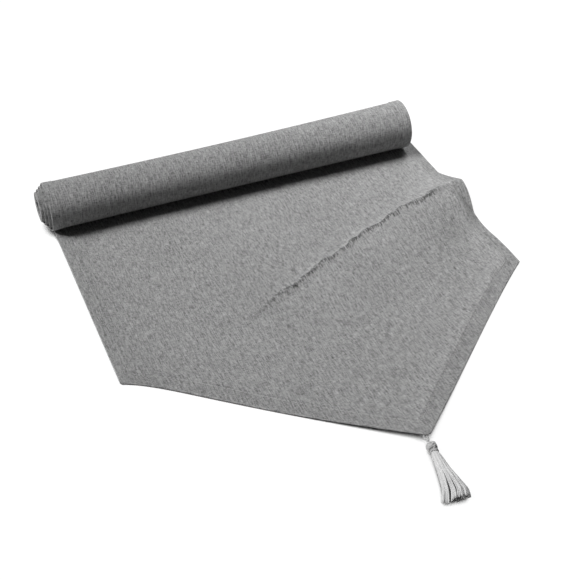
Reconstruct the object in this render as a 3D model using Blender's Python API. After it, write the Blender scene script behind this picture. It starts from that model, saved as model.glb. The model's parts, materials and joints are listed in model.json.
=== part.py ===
"""Table runner: a hemmed cloth with pointed ends and tassels, partly rolled up.

The runner lies on a table with its front point towards -Y.  Its back part is wound
towards the front into a roll that rests on the table.  A low diagonal ridge crosses
the laid part from its right edge.  Metres, +Z up, +X along the roll.

Pieces are first described from the roll's contact line (y = 0) and the runner's left
edge (x = 0).  The last step sets the whole runner's bottom centre on the origin.
One function carries the cloth's flat stations to their places, and the hems and seam
threads follow the same function at their own distance from the cloth's underside.
"""

import math

import bmesh
import bpy
from mathutils import Matrix, Vector

# ---------------------------------------------------------------- driving dimensions
WIDTH = 0.330              # across the runner, from edge to edge
LENGTH = 1.830             # flat, from tip to tip
POINT_DEPTH = 0.1357       # flat depth of each pointed end
TIP_OFFSET = 0.0057        # the front tip lies this far right of the middle
TIP_WIDTH = 0.003          # blunt end of each tip
CLOTH = 0.0004             # thickness of one layer
SIDE_HEM = 0.010           # width of the side hems
POINT_HEM = 0.0125         # width of the hems along the front point
HEM_FOLDS = 0.0006         # the two turned-under layers together

LAID_LEFT = 0.198          # contact line to fold line along the table, left edge
LAID_RIGHT = 0.1887        # the same at the right edge, where the ridge takes up cloth

ROLL_RADIUS_LEFT = 0.0200  # outside of the cloth at the roll's left end
ROLL_RADIUS_RIGHT = 0.0212
TELESCOPE = 0.009          # the inner turns stand out this far to the left
TELESCOPE_SHARE = 0.45     # and the outer turns step out to it over this share

RIDGE_HEIGHT = 0.0175      # crest above the table at the right edge
RIDGE_BACK = 0.092         # contact line to the crest, along the right edge
RIDGE_RUN = 0.240          # from the right edge to where the crest fades out
RIDGE_SLANT = 0.51         # the crest runs this far forward for each unit to the left
RIDGE_BEND = 0.060         # it leaves the right edge square and bends within this run
RIDGE_BACK_WIDTH = 0.038   # the side facing the roll
RIDGE_FRONT_WIDTH = 0.028  # the side facing the point, at the right edge
RIDGE_FRONT_SPREAD = 0.030  # it is this much wider where the crest ends

TIP_LIFT = 0.005           # the front tip curls up this much
TIP_LIFT_DEPTH = 0.070     # over this depth of the point

THREAD = 0.0004            # diameter of a seam thread
SEAM_INSET = 0.0018        # from a hem's inner edge to its seam

LOOP_CORD = 0.0012         # diameter of the tassel's hanging cord
LOOP_SPREAD = 0.0018       # between the middles of the cord's two legs
LOOP_SHOWN = 0.0044        # length of loop between the tip and the head
EYE_INSET = 0.0022         # the loop is sewn under the tip this far from its edge
EYE_LEFT = 0.002           # and this far left of the tip's middle
TASSEL_TURN = math.radians(8.4)   # the tassel lies this far off the runner's length
HEAD_RADIUS = 0.0040
NECK_RADIUS = 0.0024
BINDING_THREAD = 0.0008    # diameter of the thread wound round the neck
BINDING_TURNS = 3
SKIRT_LENGTH = 0.0400
SKIRT_END_WIDTH = 0.0205
SKIRT_END_HEIGHT = 0.0090
SKIRT_HOLLOW = 0.0035      # depth of the hollow in the skirt's cut end
FAR_LOOP_REACH = 0.010     # the far loop bends onto the roll's axis over this length

# ---------------------------------------------------------------- clearances
SEAM_GAP = 0.0003          # between layers and pieces that touch
FOLD_GAP = 0.0009          # between the laid cloth and the point, along the fold line
HEM_FOLD_GAP = 0.0017      # hems stop this far from the fold line
SEAM_FOLD_GAP = 0.0022     # seam threads stop this far from the fold line
EDGE_RAMP = 0.004          # the cloth comes down from its hem to the table over this
END_RAMP = 0.012           # and over this at the roll and at the fold line
SEAM_ROLL_GAP = 0.015      # top seams stop this far in front of the contact line
CORE_GAP = 0.0004          # between the roll's innermost turn and the far tassel

# ---------------------------------------------------------------- derived sizes
STEPS_PER_TURN = 24
TURN_STEP = 2 * math.pi / STEPS_PER_TURN
RISE = HEM_FOLDS + SEAM_GAP            # underside of the cloth above the table, at hems
FOLD_SLOPE = math.atan2(LAID_LEFT - LAID_RIGHT, WIDTH)
ROLL_RADIUS = (ROLL_RADIUS_LEFT + ROLL_RADIUS_RIGHT) / 2
INNER_RADIUS = (HEAD_RADIUS + CORE_GAP) / math.cos(TURN_STEP / 2) + CLOTH
WOUND_LENGTH = LENGTH - POINT_DEPTH - LAID_LEFT
PITCH = math.pi * (ROLL_RADIUS ** 2 - INNER_RADIUS ** 2) / WOUND_LENGTH
WOUND_STEPS = int((ROLL_RADIUS - INNER_RADIUS) / PITCH * STEPS_PER_TURN)
WOUND_ANGLE = WOUND_STEPS * TURN_STEP
HEM_LOW = -RISE
HEM_HIGH = -SEAM_GAP
TOP_THREAD = CLOTH + SEAM_GAP + THREAD / 2
UNDER_THREAD = HEM_LOW - SEAM_GAP - THREAD / 2
TIP_DEPTH = POINT_DEPTH * (1 - TIP_WIDTH / WIDTH)
LOOP_REACH = EYE_INSET + LOOP_SHOWN - LOOP_CORD / 2 - SEAM_GAP
TASSEL_HEIGHT = SKIRT_END_HEIGHT / 2   # the tassel rests on the end of its skirt
LEFT_SLOPE = (WIDTH / 2 + TIP_OFFSET) / POINT_DEPTH
RIGHT_SLOPE = (WIDTH / 2 - TIP_OFFSET) / POINT_DEPTH

CLOTH_GREY = (0.30, 0.30, 0.30, 1.0)
HEM_GREY = (0.26, 0.26, 0.26, 1.0)
THREAD_GREY = (0.34, 0.34, 0.34, 1.0)
TASSEL_GREY = (0.52, 0.52, 0.52, 1.0)


# ---------------------------------------------------------------- small helpers
def smoothstep(value):
    """Ease from 0 to 1."""
    value = min(1.0, max(0.0, value))
    return value * value * (3 - 2 * value)


def spaced(first, last, count):
    """`count` evenly spaced values, first and last included."""
    return [first + (last - first) * i / (count - 1) for i in range(count)]


def add_object(name, data, colour, roughness):
    """Link an object with its own plain Principled material."""
    material = bpy.data.materials.new(name)
    material.use_nodes = True
    shader = material.node_tree.nodes["Principled BSDF"]
    shader.inputs["Base Color"].default_value = colour
    shader.inputs["Roughness"].default_value = roughness
    shader.inputs["Metallic"].default_value = 0.0
    data.materials.append(material)
    thing = bpy.data.objects.new(name, data)
    bpy.context.scene.collection.objects.link(thing)
    return thing


def close_mesh(name, mesh_builder, colour, roughness, smooth=True):
    """Turn a finished bmesh into an object whose faces point out."""
    bmesh.ops.recalc_face_normals(mesh_builder, faces=mesh_builder.faces)
    mesh = bpy.data.meshes.new(name)
    mesh_builder.to_mesh(mesh)
    mesh_builder.free()
    if smooth:
        mesh.shade_smooth()
        mesh.set_sharp_from_angle(angle=math.radians(40))
    return add_object(name, mesh, colour, roughness)


def slab(name, rows, place, low, high, colour):
    """A layer between two distances from the cloth's underside, over rows of stations."""
    builder = bmesh.new()
    under = [[builder.verts.new(place(u, station, low)) for u, station in row]
             for row in rows]
    over = [[builder.verts.new(place(u, station, high)) for u, station in row]
            for row in rows]
    last_row = len(rows) - 1
    last_column = len(rows[0]) - 1
    for i in range(last_row):
        for j in range(last_column):
            for side in (under, over):
                builder.faces.new((side[i][j], side[i + 1][j],
                                   side[i + 1][j + 1], side[i][j + 1]))
        for j in (0, last_column):
            builder.faces.new((under[i][j], under[i + 1][j], over[i + 1][j], over[i][j]))
    for i in (0, last_row):
        for j in range(last_column):
            builder.faces.new((under[i][j], under[i][j + 1], over[i][j + 1], over[i][j]))
    return close_mesh(name, builder, colour, 0.9)


def tube(name, points, diameter, colour):
    """A thread or cord with filled ends along a list of points."""
    curve = bpy.data.curves.new(name, "CURVE")
    curve.dimensions = "3D"
    curve.bevel_depth = diameter / 2
    curve.bevel_resolution = 2
    curve.use_fill_caps = True
    spline = curve.splines.new("POLY")
    spline.points.add(len(points) - 1)
    for spline_point, point in zip(spline.points, points):
        spline_point.co = (*point, 1.0)
    return add_object(name, curve, colour, 0.8)


def loft(name, sections, colour):
    """A closed skin over rings of points, with a flat cap on the first and last ring."""
    builder = bmesh.new()
    rings = [[builder.verts.new(point) for point in section] for section in sections]
    sides = len(rings[0])
    for ring, following in zip(rings, rings[1:]):
        for k in range(sides):
            after = (k + 1) % sides
            builder.faces.new((ring[k], ring[after], following[after], following[k]))
    builder.faces.new(rings[0])
    builder.faces.new(rings[-1])
    return close_mesh(name, builder, colour, 0.6)


# ---------------------------------------------------------------- the cloth's place
def fold_line(u):
    """How far in front of the contact line the point begins."""
    return LAID_LEFT + (LAID_RIGHT - LAID_LEFT) * u / WIDTH


def ridge_height(x, y):
    """Height of the ridge, which crosses the laid cloth from its right edge."""
    run = WIDTH - x
    fade = min(1.0, max(0.0, 1 - run / RIDGE_RUN)) ** 1.1
    crest = RIDGE_BACK + RIDGE_SLANT * (math.hypot(run, RIDGE_BEND) - RIDGE_BEND)
    ahead = -y - crest
    if ahead < 0:
        profile = max(0.0, 1 + ahead / RIDGE_BACK_WIDTH) ** 1.4
    else:
        front_width = RIDGE_FRONT_WIDTH + RIDGE_FRONT_SPREAD * (1 - fade)
        to_fold = fold_line(x) - END_RAMP / 2 - crest
        share = min(1.0, ahead / max(0.001, min(front_width, to_fold)))
        profile = (1 + math.cos(math.pi * share)) / 2
    return RIDGE_HEIGHT * fade * profile


def laid_height(x, y):
    """Underside of the laid cloth: up on its hems, down on the table between them."""
    inside = min(x, WIDTH - x) - SIDE_HEM
    on_hem = 1 - smoothstep(inside / EDGE_RAMP)
    at_roll = 1 - smoothstep(-y / END_RAMP)
    at_fold = 1 - smoothstep((y + fold_line(x)) / END_RAMP)
    return RISE * max(on_hem, at_roll, at_fold) + ridge_height(x, y)


def laid_place(u, part, lift):
    """Station on the laid cloth: part 0 is the contact line, 1 the fold line."""
    y = -part * fold_line(u)
    span = 0.0015
    slope_x = (ridge_height(u + span, y) - ridge_height(u - span, y)) / (2 * span)
    slope_y = (ridge_height(u, y + span) - ridge_height(u, y - span)) / (2 * span)
    normal = Vector((-slope_x, -slope_y, 1.0)).normalized()
    return Vector((u, y, laid_height(u, y))) + normal * lift


def roll_radius(u):
    """Outside radius of the wound cloth, which tapers a little to the left."""
    return ROLL_RADIUS_LEFT + (ROLL_RADIUS_RIGHT - ROLL_RADIUS_LEFT) * u / WIDTH


def wound_place(u, angle, lift):
    """Station on the roll: under it at angle 0, then up its back and over to the front."""
    radius = roll_radius(u) - PITCH * angle / (2 * math.pi) - lift
    shift = TELESCOPE * smoothstep(angle / WOUND_ANGLE / TELESCOPE_SHARE)
    height = RISE + roll_radius(u) - radius * math.cos(angle)
    return Vector((u - shift, radius * math.sin(angle), height))


def tip_height(depth):
    """The point lies flat and curls up towards its tip."""
    curled = max(0.0, 1 - (TIP_DEPTH - depth) / TIP_LIFT_DEPTH)
    return RISE + TIP_LIFT * curled ** 2


def point_place(u, depth, lift):
    """Station on the front point, at a depth in front of the fold line."""
    span = 0.001
    slope = (tip_height(depth + span) - tip_height(depth - span)) / (2 * span)
    forward = Vector((math.sin(FOLD_SLOPE), -math.cos(FOLD_SLOPE), 0.0))
    normal = (Vector((0, 0, 1)) - forward * slope).normalized()
    start = Vector((u, -fold_line(u), tip_height(depth)))
    return start + forward * depth + normal * lift


# ---------------------------------------------------------------- cloth panels
def side_columns(side):
    """A side hem's outer edge, seam and inner edge, from left to right."""
    columns = [0.0, SIDE_HEM - SEAM_INSET, SIDE_HEM]
    return columns if side == "left" else [WIDTH - u for u in reversed(columns)]


def laid_parts():
    """Rows of the laid cloth, from just in front of the roll to the fold line."""
    first = SEAM_GAP / LAID_LEFT
    last = 1 - FOLD_GAP / 2 / LAID_LEFT
    ramp = END_RAMP / LAID_LEFT
    return [first, first + ramp / 2] + spaced(ramp, 1 - ramp, 24) + [1 - ramp / 2, last]


def laid_panel():
    """The cloth between the roll and the fold line, with its ridge."""
    inner = SIDE_HEM + EDGE_RAMP
    columns = side_columns("left") + spaced(inner, WIDTH - inner, 15) + side_columns("right")
    rows = [[(u, part) for u in columns] for part in laid_parts()]
    return slab("laid_panel", rows, laid_place, 0.0, CLOTH, CLOTH_GREY)


def rolled_panel():
    """The wound cloth, whose far point narrows to a tip in the roll's core."""
    rows = []
    for step in range(WOUND_STEPS + 1):
        angle = step * TURN_STEP
        wound = ROLL_RADIUS * angle - PITCH * angle ** 2 / (4 * math.pi)
        into_point = max(0.0, wound - (WOUND_LENGTH - POINT_DEPTH)) / POINT_DEPTH
        cut = min(into_point * WIDTH / 2, (WIDTH - TIP_WIDTH) / 2)
        rows.append([(cut, angle), (WIDTH - cut, angle)])
    return slab("rolled_panel", rows, wound_place, 0.0, CLOTH, CLOTH_GREY)


def point_depths(start):
    """Rows of the front point, closer together where the tip curls up."""
    flat_end = TIP_DEPTH - TIP_LIFT_DEPTH
    return [start] + spaced(flat_end / 2, flat_end, 2) + spaced(flat_end, TIP_DEPTH, 11)[1:]


def point_edges(depth):
    """Left and right edge of the front point at a depth."""
    return LEFT_SLOPE * depth, WIDTH - RIGHT_SLOPE * depth


def point_panel():
    """The pointed end in front of the fold line."""
    rows = []
    for depth in point_depths(FOLD_GAP / 2):
        left, right = point_edges(depth)
        rows.append([(left, depth), (right, depth)])
    return slab("point_panel", rows, point_place, 0.0, CLOTH, CLOTH_GREY)


# ---------------------------------------------------------------- hems
def side_hem(side):
    """Turned-under side edge of the laid cloth."""
    last = 1 - HEM_FOLD_GAP / LAID_LEFT
    rows = [[(u, min(part, last)) for u in side_columns(side)] for part in laid_parts()]
    return slab("side_hem_" + side, rows, laid_place, HEM_LOW, HEM_HIGH, HEM_GREY)


def roll_hem(side):
    """The same hem round the roll's outer turn, down to the wedge in front of it."""
    rows = [[(u, step * TURN_STEP) for u in side_columns(side)]
            for step in range(STEPS_PER_TURN - 2)]
    return slab("roll_hem_" + side, rows, wound_place, HEM_LOW, HEM_HIGH, HEM_GREY)


def point_hem(side):
    """Turned-under edge of the point.  Left and right hem meet in a mitre at the tip."""
    slope = LEFT_SLOPE if side == "left" else RIGHT_SLOPE
    across = POINT_HEM * math.hypot(1, slope)
    rows = []
    for depth in point_depths(HEM_FOLD_GAP):
        left, right = point_edges(depth)
        middle = WIDTH / 2 + TIP_OFFSET
        if side == "left":
            rows.append([(left, depth), (min(left + across, middle - SEAM_GAP / 2), depth)])
        else:
            rows.append([(max(right - across, middle + SEAM_GAP / 2), depth), (right, depth)])
    return slab("point_hem_" + side, rows, point_place, HEM_LOW, HEM_HIGH, HEM_GREY)


# ---------------------------------------------------------------- seams
def side_seam(side):
    """Thread along the side hem, on top of the laid cloth."""
    u = side_columns(side)[1]
    last = 1 - SEAM_FOLD_GAP / LAID_LEFT
    points = [laid_place(u, min(part, last), TOP_THREAD) for part in laid_parts()
              if part * LAID_LEFT > SEAM_ROLL_GAP]
    return tube("side_seam_" + side, points, THREAD, THREAD_GREY)


def roll_seam(side):
    """Thread along the same hem on the outside of the roll's outer turn."""
    u = side_columns(side)[1]
    points = [wound_place(u, step * TURN_STEP, UNDER_THREAD)
              for step in range(3, STEPS_PER_TURN - 3)]
    return tube("roll_seam_" + side, points, THREAD, THREAD_GREY)


def point_seam(side):
    """Thread along the point's hem, on top of the cloth."""
    slope = LEFT_SLOPE if side == "left" else RIGHT_SLOPE
    across = (POINT_HEM - SEAM_INSET) * math.hypot(1, slope)
    middle = WIDTH / 2 + TIP_OFFSET
    to_middle = (TIP_DEPTH * slope - across - TIP_WIDTH / 2) / slope
    points = []
    for depth in spaced(SEAM_FOLD_GAP, to_middle, 14):
        left, right = point_edges(depth)
        u = left + across if side == "left" else right - across
        u = min(u, middle - THREAD) if side == "left" else max(u, middle + THREAD)
        points.append(point_place(u, depth, TOP_THREAD))
    return tube("point_seam_" + side, points, THREAD, THREAD_GREY)


# ---------------------------------------------------------------- tassels
def ellipse(x, half_width, half_height):
    """A ring of points round a tassel's own axis, which is +X."""
    sides = 20
    turns = [2 * math.pi * k / sides for k in range(sides)]
    return [Vector((x, half_width * math.cos(turn), half_height * math.sin(turn)))
            for turn in turns]


def tassel_stations():
    """Places along a tassel's axis, counted from the middle of its loop's bend."""
    head_start = LOOP_CORD / 2 + SEAM_GAP
    neck_start = head_start + 2 * HEAD_RADIUS + SEAM_GAP
    binding_start = neck_start + SEAM_GAP
    skirt_start = binding_start + BINDING_TURNS * BINDING_THREAD + SEAM_GAP
    return head_start, neck_start, binding_start, skirt_start


def hairpin(name, reach, height_at):
    """A loop of cord: out along +X, round its bend and back, at a height along the way."""
    bend = LOOP_SPREAD / 2
    legs = spaced(0.0, reach - bend, 6)
    route = [(x, bend) for x in legs]
    route += [(reach - bend + bend * math.sin(turn), bend * math.cos(turn))
              for turn in spaced(0.0, math.pi, 7)[1:-1]]
    route += [(x, -bend) for x in reversed(legs)]
    points = [Vector((x, y, height_at(x / reach))) for x, y in route]
    return tube(name, points, LOOP_CORD, TASSEL_GREY)


def tassel_head(name):
    """Knot at the top of a tassel: a ball with two small flat ends."""
    start = tassel_stations()[0]
    sections = []
    steps = 12
    for step in range(1, steps):
        turn = math.pi * step / steps
        radius = HEAD_RADIUS * math.sin(turn)
        middle = start + HEAD_RADIUS * (1 - math.cos(turn) / math.cos(math.pi / steps))
        sections.append(ellipse(middle, radius, radius))
    return loft(name, sections, TASSEL_GREY)


def tassel_binding(name):
    """Thread wound round the neck: one ring with a rounded bump for each turn."""
    start = tassel_stations()[2]
    inner = NECK_RADIUS + SEAM_GAP
    outline = [(start, inner)]
    for turn in range(BINDING_TURNS):
        middle = start + BINDING_THREAD * (turn + 0.5)
        for angle in spaced(math.radians(160), math.radians(20), 5):
            outline.append((middle + BINDING_THREAD / 2 * math.cos(angle),
                            inner + BINDING_THREAD / 2 * (1 + math.sin(angle))))
    outline.append((start + BINDING_THREAD * BINDING_TURNS, inner))
    builder = bmesh.new()
    sides = 20
    turns = [2 * math.pi * k / sides for k in range(sides)]
    rings = [[builder.verts.new((x, radius * math.cos(turn), radius * math.sin(turn)))
              for x, radius in outline] for turn in turns]
    for k in range(sides):
        ring, following = rings[k], rings[(k + 1) % sides]
        for j in range(len(outline)):
            after = (j + 1) % len(outline)
            builder.faces.new((ring[j], ring[after], following[after], following[j]))
    return close_mesh(name, builder, TASSEL_GREY, 0.6)


def tassel_skirt(name, end_width, end_height):
    """Bundle of hanging strands: a neck inside the binding, then a flattened flare."""
    _, neck_start, _, skirt_start = tassel_stations()
    sections = [ellipse(neck_start, NECK_RADIUS, NECK_RADIUS),
                ellipse(skirt_start, NECK_RADIUS, NECK_RADIUS)]
    for share in spaced(0.08, 1.0, 8):
        half_width = NECK_RADIUS + (end_width / 2 - NECK_RADIUS) * share ** 0.85
        half_height = NECK_RADIUS + (end_height / 2 - NECK_RADIUS) * share ** 0.6
        sections.append(ellipse(skirt_start + SKIRT_LENGTH * share, half_width, half_height))
    hollow = skirt_start + SKIRT_LENGTH - SKIRT_HOLLOW
    sections.append(ellipse(hollow, end_width * 0.34, end_height * 0.30))
    return loft(name, sections, TASSEL_GREY)


def tassel(prefix, frame, end_width, end_height):
    """Head, binding and skirt, placed in a frame at the middle of the loop's bend."""
    pieces = [tassel_head(prefix + "tassel_head"),
              tassel_binding(prefix + "tassel_binding"),
              tassel_skirt(prefix + "tassel_skirt", end_width, end_height)]
    for piece in pieces:
        piece.data.transform(frame)
    return pieces


def front_eye_frame():
    """Where the front loop is sewn under the tip, with +X along the tassel."""
    depth = TIP_DEPTH - EYE_INSET
    under_hem = HEM_LOW - SEAM_GAP - LOOP_CORD / 2
    place = point_place(WIDTH / 2 + TIP_OFFSET - EYE_LEFT, depth, under_hem)
    turn = Matrix.Rotation(-math.pi / 2 - TASSEL_TURN, 4, "Z")
    return Matrix.Translation(place) @ turn


def far_eye_frame():
    """Where the far loop leaves the far tip, on the roll's axis, with +X along it.

    Its +Z points from the axis to the tip.
    """
    tip = wound_place(WIDTH / 2, WOUND_ANGLE, 0.0)
    outward = Vector((0.0, math.sin(WOUND_ANGLE), -math.cos(WOUND_ANGLE)))
    sideways = outward.cross(Vector((1, 0, 0)))
    frame = Matrix((Vector((1, 0, 0)), sideways, outward)).transposed().to_4x4()
    frame.translation = Vector((tip.x, 0.0, RISE + roll_radius(WIDTH / 2 + SKIRT_LENGTH)))
    return frame


# ---------------------------------------------------------------- assembly
def clear_scene():
    """Start from an empty scene."""
    for thing in list(bpy.data.objects):
        bpy.data.objects.remove(thing)


def build():
    """Make every piece, hang each on its joint and centre the runner on the origin."""
    clear_scene()
    sides = ("left", "right")
    cloth = [rolled_panel(), laid_panel()]
    for side in sides:
        cloth += [side_hem(side), roll_hem(side), side_seam(side), roll_seam(side)]
    point = [point_panel()]
    for side in sides:
        point += [point_hem(side), point_seam(side)]

    eye = front_eye_frame()
    climb = TASSEL_HEIGHT - eye.translation.z
    loop = hairpin("tassel_loop", LOOP_REACH, lambda share: climb * share)
    loop.data.transform(eye)
    knot = eye @ Matrix.Translation((LOOP_REACH, 0.0, climb))
    front = tassel("", knot, SKIRT_END_WIDTH, SKIRT_END_HEIGHT)

    far_eye = far_eye_frame()
    off_axis = HEAD_RADIUS - LOOP_CORD / 2
    far_loop = hairpin("far_tassel_loop", FAR_LOOP_REACH,
                       lambda share: off_axis * (1 - smoothstep(share * 1.25)))
    far_loop.data.transform(far_eye)
    far_knot = far_eye @ Matrix.Translation((FAR_LOOP_REACH, 0.0, 0.0))
    far = tassel("far_", far_knot, 2 * HEAD_RADIUS, 2 * HEAD_RADIUS)

    middle = point_place(WIDTH / 2, 0.0, CLOTH / 2)
    fold = Matrix.Translation(middle) @ Matrix.Rotation(FOLD_SLOPE, 4, "Z")
    groups = (("runner", Matrix(), None, cloth + [far_loop] + far),
              ("point_fold", fold, "runner", point),
              ("loop_swing", eye, "point_fold", [loop]),
              ("tassel_lift", knot, "loop_swing", front))
    centre_pieces(groups)


def centre_pieces(groups):
    """Hang each group on its empty and set the bottom centre of all on the origin."""
    graph = bpy.context.evaluated_depsgraph_get()
    places = []
    for group in groups:
        for piece in group[3]:
            solid = piece.evaluated_get(graph)
            places += [vertex.co.copy() for vertex in solid.to_mesh().vertices]
            solid.to_mesh_clear()
    low = [min(place[axis] for place in places) for axis in range(3)]
    high = [max(place[axis] for place in places) for axis in range(3)]
    origin = Vector(((low[0] + high[0]) / 2, (low[1] + high[1]) / 2, low[2]))
    to_origin = Matrix.Translation(-origin)
    frames, empties = {}, {}
    for name, frame, parent, pieces in groups:
        frames[name] = to_origin @ frame
        empty = bpy.data.objects.new(name, None)
        empty.empty_display_size = 0.02
        bpy.context.scene.collection.objects.link(empty)
        empty.parent = empties.get(parent)
        above = frames[parent] if parent else Matrix()
        empty.matrix_local = above.inverted() @ frames[name]
        empties[name] = empty
        for piece in pieces:
            piece.data.transform(frame.inverted())
            piece.parent = empty


build()
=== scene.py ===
"""Looks of the table runner: cloth, folded hems, single stitches and stranded tassels.

The cloth is one surface with flat stations: u across it from the left edge, v along it
from the line where the roll meets the table (negative on the roll, positive towards
the front tip).  `surface` carries flat stations to their places, and every hem and
stitch follows it at a distance from the cloth's underside.  Metres throughout.
"""

import json
import math

import bpy
import numpy as np
from mathutils import Matrix, Vector


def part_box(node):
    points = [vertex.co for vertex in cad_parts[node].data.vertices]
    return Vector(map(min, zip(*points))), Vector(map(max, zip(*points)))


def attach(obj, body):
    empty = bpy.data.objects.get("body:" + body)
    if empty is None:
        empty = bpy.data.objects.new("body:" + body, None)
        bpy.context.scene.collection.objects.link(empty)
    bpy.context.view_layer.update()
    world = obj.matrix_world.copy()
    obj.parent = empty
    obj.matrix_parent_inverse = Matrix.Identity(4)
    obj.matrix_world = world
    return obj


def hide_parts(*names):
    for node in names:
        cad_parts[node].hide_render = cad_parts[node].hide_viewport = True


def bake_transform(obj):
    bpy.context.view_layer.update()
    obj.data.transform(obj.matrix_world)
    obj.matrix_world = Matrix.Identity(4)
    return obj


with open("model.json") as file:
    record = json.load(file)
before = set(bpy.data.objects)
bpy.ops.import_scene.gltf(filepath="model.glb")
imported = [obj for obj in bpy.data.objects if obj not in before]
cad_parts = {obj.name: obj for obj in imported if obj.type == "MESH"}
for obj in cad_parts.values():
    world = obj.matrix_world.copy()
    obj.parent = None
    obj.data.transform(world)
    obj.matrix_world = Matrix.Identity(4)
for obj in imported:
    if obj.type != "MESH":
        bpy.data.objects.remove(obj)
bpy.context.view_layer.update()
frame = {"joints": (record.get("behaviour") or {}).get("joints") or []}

TAU = 2 * math.pi

# ---------------------------------------------------------------- the CAD's own sizes
WIDTH = 0.330
LENGTH = 1.830
POINT_DEPTH = 0.1357
TIP_OFFSET = 0.0057
TIP_WIDTH = 0.003
CAD_CLOTH = 0.0004
SIDE_HEM = 0.010
POINT_HEM = 0.0125
RISE = 0.0009              # underside of the cloth above the table, where hems lie below
LAID_LEFT = 0.198
LAID_RIGHT = 0.1887
RADIUS_LEFT = 0.0200
RADIUS_RIGHT = 0.0212
RADIUS = (RADIUS_LEFT + RADIUS_RIGHT) / 2
INNER_RADIUS = 0.004838
WOUND_LENGTH = LENGTH - POINT_DEPTH - LAID_LEFT
PITCH = math.pi * (RADIUS ** 2 - INNER_RADIUS ** 2) / WOUND_LENGTH
WOUND_ANGLE = TAU * 449 / 24
RIDGE_HEIGHT = 0.0175
RIDGE_BACK = 0.092
RIDGE_RUN = 0.240
RIDGE_SLANT = 0.51
RIDGE_BEND = 0.088
TIP_LIFT = 0.005
TIP_LIFT_DEPTH = 0.070
TIP_DEPTH = POINT_DEPTH * (1 - TIP_WIDTH / WIDTH)
LEFT_SLOPE = (WIDTH / 2 + TIP_OFFSET) / POINT_DEPTH
RIGHT_SLOPE = (WIDTH / 2 - TIP_OFFSET) / POINT_DEPTH
MIDDLE = WIDTH / 2 + TIP_OFFSET
FOLD_SLOPE = math.atan2(LAID_LEFT - LAID_RIGHT, WIDTH)
HEAD_RADIUS = 0.0040
NECK_RADIUS = 0.0024
SKIRT_START = 0.0122       # from the middle of the loop's bend along the tassel
SKIRT_LENGTH = 0.0400

JOINTS = {joint["name"]: joint for joint in frame["joints"]}
FOLD_AT = np.array(JOINTS["point_fold"]["pos_m"])
SHIFT = FOLD_AT - (WIDTH / 2, -(LAID_LEFT + LAID_RIGHT) / 2, RISE + CAD_CLOTH / 2)

# ---------------------------------------------------------------- sizes of the looks
CLOTH = 0.00032            # thickness of the shown cloth
HEM_LOW = -0.00082         # underside of a hem on the table, from the cloth's underside
ROLL_HEM_LOW = -0.00045    # the same round the outer turn
WOUND_HEM_LOW = -0.00027   # and between the turns of the roll
HEM_SINK = -0.00002        # upper side of a hem's turned layer, just below the cloth
THREAD_RADIUS = 0.00017
RING_TURNS = (1.98, 3.98, 5.98)   # the roll's inner turns stand out to the left in steps
RING_STEP = 0.0022
RING_GAP = 0.0012          # open space between those groups of turns, at their ends
RING_REACH = 0.034         # and how far in from the left end it is open
ROLL_SHIFT = 0.0062        # the roll lies this far to the left of the laid cloth
ROLL_WAIST = 0.0007        # it is thinner in the middle
ROLL_NARROWING = 0.025     # share of the width that its edges are drawn in
CORE_RISE = 0.0018         # the innermost turns sit above the roll's middle
RIDGE_BACK_WIDTH = 0.039   # the ridge's side towards the roll, at the right edge
RIDGE_FRONT_WIDTH = 0.026  # its steep front there
LIP_HEIGHT = 0.0011        # further in, a small lip stands over a long ramp
LIP_WIDTH = 0.0038
RAMP_WIDTH = 0.050         # at the right edge
RAMP_GROWTH = 0.030        # added to it further in
EDGE_DRAWN_IN = 0.0024     # the right edge beside the ridge
RIGHT_BOW = 0.0018         # the point's right edge bows in
LEFT_BOW = 0.0032          # and its left edge, near the corner
SWELL = 0.00075            # low waves of the laid cloth
HEM_SHOULDER = 0.0013      # the cloth beside a hem stands up a little
SEAM_INSET = 0.0018        # from a hem's inner edge out to its seam
STITCH = 0.0024            # length of a stitch
STITCH_GAP = 0.0007
FOLD_HALF = 0.012          # the cloth bends this far to each side of the fold line
STRAND_RADIUS = 0.00046
CORD_RADIUS = 0.0006
KNOT_START = 0.0019        # from the middle of the loop's bend to the knot
FRONT_STRANDS = 170
FAR_STRANDS = 110
TABLE_TOP = -0.0045        # below the tassel's own axis
WARP_PITCH = 0.00055
WEFT_PITCH = 0.00062
CLOTH_TONE = 0.342

# ---------------------------------------------------------------- the studio's numbers
CAMERA_PLACE = (-0.111280, -0.769448, 0.568068)
CAMERA_DOWN = 0.701253     # radians below the horizon
CAMERA_TURN = -0.397785
CAMERA_LENS = 71.05
AMBIENT = 0.05
KEY_FROM = (-0.90, 0.16, 1.0)
KEY_STRENGTH = 3.3
KEY_SPREAD = 22            # degrees
FILL_PLACE = (0.32, 0.26, 0.46)
FILL_FROM = (0.26, 0.20, 0.46)
FILL_POWER = 1.9
FILL_SIZE = 0.25
FLOOR_SIDE = 3.0
FLOOR_LEVEL = -0.0004
FLOOR_TONE = 0.60
# share of the floor's look to the camera that is painted glow
FLOOR_GLOW_SHARE = 0.86
PAINTED_SHADE_REACH = 0.012      # how far from the cloth the floor's painted contact shade reaches


def smoothstep(value):
    """A soft step from 0 to 1 as the value goes from 0 to 1."""
    value = np.clip(value, 0.0, 1.0)
    return value * value * (3 - 2 * value)


def bump(value, middle, spread):
    """A soft hump of height 1 round a middle."""
    return np.exp(-((value - middle) / spread) ** 2)


# ---------------------------------------------------------------- camera and light
def set_camera():
    """The photograph's viewing angle, from the front left and above."""
    camera = bpy.data.cameras.new("camera")
    camera.sensor_width = 36.0
    camera.lens = CAMERA_LENS
    camera.clip_start = 0.01
    thing = bpy.data.objects.new("camera", camera)
    bpy.context.scene.collection.objects.link(thing)
    thing.location = Vector(CAMERA_PLACE) + Vector(SHIFT)
    thing.rotation_euler = (math.pi / 2 - CAMERA_DOWN, 0.0, CAMERA_TURN)
    bpy.context.scene.camera = thing


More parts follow.
